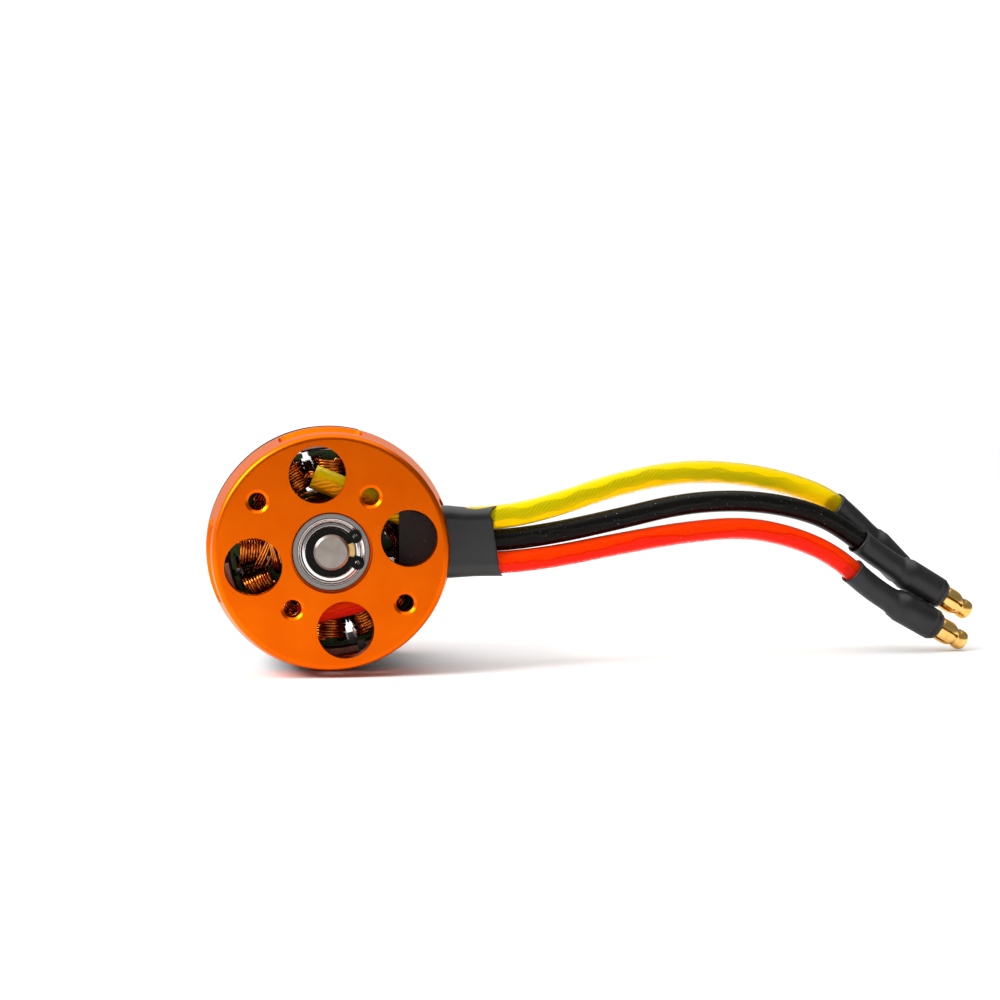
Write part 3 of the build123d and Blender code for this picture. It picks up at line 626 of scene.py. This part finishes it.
def make_lead(colour, lead, materials):
    """A lead: its fixed start in the motor, its free run, and its plug and plug sleeve."""
    inner = Tubes()
    inner.add(spline_line(f"{colour}_inner", lead["inner"]), lead["radius"], LEAD_SIDES)
    material = materials[f"{colour}_silicone"]
    start = inner.piece(f"{colour}_lead_start",
                        materials.get(f"{colour}_silicone_start", material), "stator")
    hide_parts(f"{colour}_lead_inner")

    line = spline_line(f"{colour}_route", lead["route"])
    skin = Tubes()
    skin.add(line, lead["radius"], LEAD_SIDES)
    piece = skin.piece(f"{colour}_lead_cord", material, "stator")
    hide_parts(f"{colour}_lead")

    sleeve = make_plug_sleeve(colour, line, lead, materials)
    plug = make_plug(colour, lead, materials)


def make_plug_sleeve(colour, line, lead, materials):
    """Shrunk sleeve over the end of a lead and the back of its plug, open behind."""
    end, before = Vector(lead["route"][-1]), Vector(lead["route"][-2])
    ahead = (end - before).normalized()
    whole = line + [end + ahead * (PLUG_RUN * step / PLUG_STEPS)
                    for step in range(1, PLUG_STEPS + 1)]
    reach = sum((after - first).length for first, after in zip(line, line[1:]))
    back = reach - (end - before).length - SLEEVE_BACK
    profile = [(back + distance, radius) for distance, radius in SLEEVE_LIP]
    front = [(reach + distance, radius) for distance, radius in SLEEVE_FRONT]
    first, last = profile[-1][0], front[0][0]
    middle = int((last - first) / SLEEVE_STEP)
    profile += [(first + (last - first) * step / middle, SLEEVE_FIT) for step in range(1, middle)]
    profile += front
    film = Tubes()
    film.turn(whole, profile)
    sleeve = film.piece(f"{colour}_plug_sleeve_film", materials["heat_shrink"], "stator")
    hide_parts(f"{colour}_plug_sleeve")
    return sleeve


def make_plug(colour, lead, materials):
    """Gold bullet plug: a barrel of spring leaves between a collar and a blunt tip."""
    end, before = Vector(lead["route"][-1]), Vector(lead["route"][-2])
    ahead = (end - before).normalized()
    point, side, up = carried_frames([end, end + ahead])[0]
    rings, along = [], []
    for distance, radius in PLUG_PROFILE:
        middle = point + ahead * distance
        slit = SLIT_START < distance < SLIT_END
        ring = []
        for step in range(PLUG_SIDES):
            angle = tau * step / PLUG_SIDES
            shut = abs((angle * SLITS / tau + 0.5) % 1 - 0.5) * tau / SLITS * radius
            reach = SLIT_FLOOR if slit and shut < SLIT_HALF else radius
            ring.append(middle + (side * cos(angle) + up * sin(angle)) * reach)
        rings.append(ring)
        along.append(distance)
    gilt = Tubes()
    gilt.skin(rings, along)
    plug = gilt.piece(f"{colour}_plug_gilt", materials["gold_plate"], "stator")
    plug.data.set_sharp_from_angle(angle=SHARP)
    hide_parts(f"{colour}_plug")
    return plug


def sleeve_ring(share, inset):
    """One ring of the flat sleeve's film, from the motor at share 0 to the mouth at 1."""
    x = FLAT_START + (FLAT_MOUTH - FLAT_START) * share
    flare = max(0.0, 1 - (x - FLAT_START) / (FLAT_STRAIGHT - FLAT_START))
    sag = SAG * max(0.0, 1 - ((x - SAG_X) / SAG_HALF) ** 2)
    droop = DROOP * max(0.0, min(1.0, (DROOP_END - x) / DROOP_RUN))
    top = FLAT_TOP + TOP_FLARE * flare - sag
    low = FLAT_LOW - LOW_FLARE * flare - droop
    reach = FLAT_CORNER - inset
    ring = []
    for corner, (across, along) in enumerate(((-1, -1), (1, -1), (1, 1), (-1, 1))):
        core_y = FLAT_Y + across * (FLAT_HALF - FLAT_CORNER)
        core_z = (top if along > 0 else low) - along * FLAT_CORNER
        for step in range(CORNER_STEPS + 1):
            angle = pi + corner * pi / 2 + pi / 2 * step / CORNER_STEPS
            y, z = core_y + reach * cos(angle), core_z + reach * sin(angle)
            bite = max(0.0, 1 - ((z - BITE_Z) / BITE_HALF) ** 2) if y < FLAT_Y else 0.0
            tongue = max(0.0, (TONGUE_Z - z) / TONGUE_RUN) ** 2
            waist = WAIST * cos((z - WAIST_Z) / WAIST_HALF * pi)
            pull = share ** MOUTH_CURL * (TONGUE * tongue - BITE * bite - waist)
            ring.append(Vector((x + pull, y, z)))
    return ring


def make_flat_sleeve(materials):
    """The flat sleeve over the leads: thin film with a curled, bitten mouth, open at both ends."""
    shares = [step / FILM_STEPS for step in range(FILM_STEPS + 1)]
    rings = [sleeve_ring(share, 0.0) for share in shares]
    rings += [sleeve_ring(share, FILM) for share in reversed(shares)]
    rings.append(rings[0])
    film = Tubes()
    film.skin(rings, [FILM_MAPPED * index / FILM_STEPS for index in range(len(rings))],
              capped=False)
    piece = film.piece("lead_sleeve_film", materials["flat_shrink"], "stator")
    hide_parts("lead_sleeve")


# ---- Bearings ------------------------------------------------------------------------------
def make_shields(name, faces, materials):
    """Pressed steel shields on both faces of a bearing: a rolled rim and a dished middle."""
    pressed = Tubes()
    for start, side in zip(faces, (1, -1)):
        line = [Vector((0, start + side * 0.05 * step, 0)) for step in range(SHIELD_STEPS)]
        pressed.turn(line, SHIELD_FRONT + SHIELD_BACK, SHIELD_SIDES)
    piece = pressed.piece(f"{name}_bearing_shields_pressed", materials["shield_steel"],
                          "stator")
    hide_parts(f"{name}_bearing_shields")


# ---- Windings ------------------------------------------------------------------------------
def rounded_loop(half, low, high, corner, steps=4):
    """(across, y) corners of one turn round a tooth, from the middle of the front end."""
    centres = [(half - corner, low + corner, -pi / 2), (half - corner, high - corner, 0.0),
               (corner - half, high - corner, pi / 2), (corner - half, low + corner, pi)]
    loop = [(0.0, low)]
    for x, y, start in centres:
        for step in range(steps + 1):
            angle = start + pi / 2 * step / steps
            loop.append((x + corner * cos(angle), y + corner * sin(angle)))
    return loop


def wind_coil(tubes, tooth, layer, draw):
    """One layer of wire wound along a tooth as a continuous helix."""
    radial = polar(1.0, TOOTH_START + tooth * 360 / TOOTH_COUNT, 0.0)
    across = Vector((-radial.z, 0, radial.x))
    inset = WIRE_R + layer * LAYER_PITCH * WIRE_R
    line = []
    for turn in range(TURNS - layer % 2):
        share = (turn + 0.5) / TURNS
        half = COIL_INNER_HALF + share * (COIL_OUTER_HALF - COIL_INNER_HALF) - inset
        half += draw.uniform(*LAYER_SPREAD[layer])
        low = STACK_LOW - COIL_BULGE + inset + draw.uniform(*END_SPREAD)
        high = STACK_HIGH + COIL_BULGE - inset - draw.uniform(*END_SPREAD)
        loop = rounded_loop(half, low, high, LOOP_CORNER * half)
        lean = draw.uniform(-LEAN, LEAN)
        for index, (side, y) in enumerate(loop):
            place = (turn + 0.5 * (layer % 2) + index / len(loop)) / TURNS
            reach = COIL_INNER_R + WIRE_R + place * (COIL_OUTER_R - COIL_INNER_R - 2 * WIRE_R)
            line.append(radial * (reach + lean * side / half) + across * side + Vector((0, y, 0)))
    tubes.add(line, WIRE_R, LAYER_SIDES[layer])


def beside(radius, angle, shift):
    """A place at a radius and angle, shifted sideways, at the mounting face."""
    spot = polar(radius, angle, 0.0)
    return spot + Vector((-spot.z, 0, spot.x)).normalized() * shift


def fill_slot(tubes, slot, draw):
    """Straight wires down one slot, and under the tips of the teeth beside it."""
    angle = TOOTH_START + (slot + 0.5) * 360 / TOOTH_COUNT
    rows = SLOT_WIRES[:OPEN_SLOT_ROWS] if slot == OPEN_SLOT else SLOT_WIRES
    for row, count in enumerate(rows):
        for index in range(count):
            shift = (index - (count - 1) / 2) * SLOT_COLUMN
            shift += draw.uniform(-SLOT_SPREAD, SLOT_SPREAD)
            spot = beside(SLOT_WIRE_R + SLOT_ROW * row, angle, shift)
            front = STACK_LOW - draw.uniform(*SLOT_FRONT)
            tubes.add([spot + Vector((0, y, 0)) for y in (front, STACK_HIGH + SLOT_BACK)], WIRE_R)
    for shift in TIP_WIRES:
        for way in (-1, 1):
            spot = beside(TIP_WIRE_R, angle, way * shift)
            tubes.add([spot + Vector((0, y, 0)) for y in (STACK_LOW, STACK_HIGH)], WIRE_R)


def make_windings(materials):
    draw = Random(7)
    for phase, teeth in PHASE_TEETH.items():
        tubes = Tubes()
        for tooth in teeth:
            for layer in range(LAYERS):
                wind_coil(tubes, tooth, layer, draw)
        for number, points in enumerate(LOOSE_WIRES[phase]):
            line = spline_line(f"phase_{phase}_wire_{number}", points, 8)
            tubes.add(line, LOOSE_WIRE_R)
        piece = tubes.piece(f"phase_{phase}_windings", materials["copper_wire"], "stator")
        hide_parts(f"phase_{phase}_coils")
    deep = Tubes()
    for slot in range(TOOTH_COUNT):
        fill_slot(deep, slot, draw)
    piece = deep.piece("slot_wires", materials["winding_shade"], "stator")


def make_magnet_glue(materials):
    """Dark glue: a film over the magnets' inner faces and blocks in the gaps between them."""
    pitch = 360 / MAGNET_COUNT
    glue = Tubes()
    for first, last in GLUED_RUNS:
        outline = []
        for magnet in range(first, last + 1):
            start = MAGNET_START + magnet * pitch - MAGNET_SPAN / 2
            outline += [(start + MAGNET_SPAN * step / GLUE_STEPS, GLUE_FILM_R)
                        for step in range(GLUE_STEPS + 1)]
            if magnet < last:
                outline += [(start + MAGNET_SPAN, GLUE_OUTER_R), (start + pitch, GLUE_OUTER_R)]
        rings = [[polar(GLUE_INNER_R, angle, GLUE_LOW), polar(radius, angle, GLUE_LOW),
                  polar(radius, angle, GLUE_HIGH), polar(GLUE_INNER_R, angle, GLUE_HIGH)]
                 for angle, radius in outline]
        glue.skin(rings, [GLUE_INNER_R * radians(angle) for angle, _ in outline])
    piece = glue.piece("magnet_glue", materials["magnet_glue"], "rotor")
    piece.data.set_sharp_from_angle(angle=SHARP)


# ---- Stage ---------------------------------------------------------------------------------
def make_floor():
    mesh = bpy.data.meshes.new("floor")
    corners = [Vector((x * FLOOR_HALF, y * FLOOR_HALF, FLOOR_Z)) * MM
               for x, y in ((-1, -1), (1, -1), (1, 1), (-1, 1))]
    mesh.from_pydata(corners, [], [(0, 1, 2, 3)])
    floor = bpy.data.objects.new("floor", mesh)
    bpy.context.scene.collection.objects.link(floor)
    surface = simple_surface("floor_paper", (0.88, 0.88, 0.88), (0.90, 0.90, 0.90), (0.5, 0.6),
                             grain=1.0, tint=40.0, depth=0.0)
    floor.data.materials.append(surface.material)


def make_key_light():
    """A square soft light above and to the left, facing the motor's face."""
    data = bpy.data.lights.new("key_light", "AREA")
    data.shape = "SQUARE"
    data.size = KEY_SIZE * MM
    data.energy = KEY_POWER
    light = bpy.data.objects.new("key_light", data)
    light.location = Vector(KEY_SPOT) * MM
    light.rotation_mode = "QUATERNION"
    light.rotation_quaternion = light.location.to_track_quat("Z", "Y")
    bpy.context.scene.collection.objects.link(light)


def make_world():
    """Soft studio light: a backdrop behind, a bright wall to the left and a bright ceiling."""
    world = bpy.data.worlds.new("studio")
    world.use_nodes = True
    bpy.context.scene.world = world
    nodes, links = world.node_tree.nodes, world.node_tree.links
    look = nodes.new("ShaderNodeTexCoord").outputs["Generated"]
    light = None
    for towards, full, end, strength in SOFT_WALLS:    # each point takes the brightest one
        facing = nodes.new("ShaderNodeVectorMath")
        facing.operation = "DOT_PRODUCT"
        links.new(look, facing.inputs[0])
        facing.inputs[1].default_value = Vector(towards).normalized()
        ramp = nodes.new("ShaderNodeMapRange")
        ramp.interpolation_type = "SMOOTHSTEP"
        links.new(facing.outputs["Value"], ramp.inputs["Value"])
        for socket, value in (("From Min", cos(radians(end))), ("From Max", cos(radians(full))),
                              ("To Min", ROOM_LIGHT), ("To Max", strength)):
            ramp.inputs[socket].default_value = value
        if light is not None:
            brighter = nodes.new("ShaderNodeMath")
            brighter.operation = "MAXIMUM"
            links.new(light, brighter.inputs[0])
            links.new(ramp.outputs["Result"], brighter.inputs[1])
            light = brighter.outputs[0]
        else:
            light = ramp.outputs["Result"]
    links.new(light, nodes["Background"].inputs["Strength"])
    nodes["Background"].inputs["Color"].default_value = (1, 1, 1, 1)


def make_camera():
    data = bpy.data.cameras.new("camera")
    data.sensor_width = SENSOR
    data.lens = CAMERA_LENS
    data.clip_start, data.clip_end = 0.01, 20.0
    camera = bpy.data.objects.new("camera", data)
    camera.location = Vector(CAMERA_SPOT) * MM
    camera.rotation_euler = (radians(90 - CAMERA_TILT), 0, radians(-CAMERA_TURN))
    bpy.context.scene.collection.objects.link(camera)
    bpy.context.scene.camera = camera
    bpy.context.scene.view_settings.view_transform = "Standard"


# ---- All pieces ----------------------------------------------------------------------------
make_camera()
materials = make_materials()
for colour, lead in LEADS.items():
    make_lead(colour, lead, materials)
make_flat_sleeve(materials)
make_shields("rear", REAR_BEARING, materials)
make_shields("front", FRONT_BEARING, materials)
make_windings(materials)
make_magnet_glue(materials)
dress_cad_nodes(materials)
make_floor()
make_world()
make_key_light()
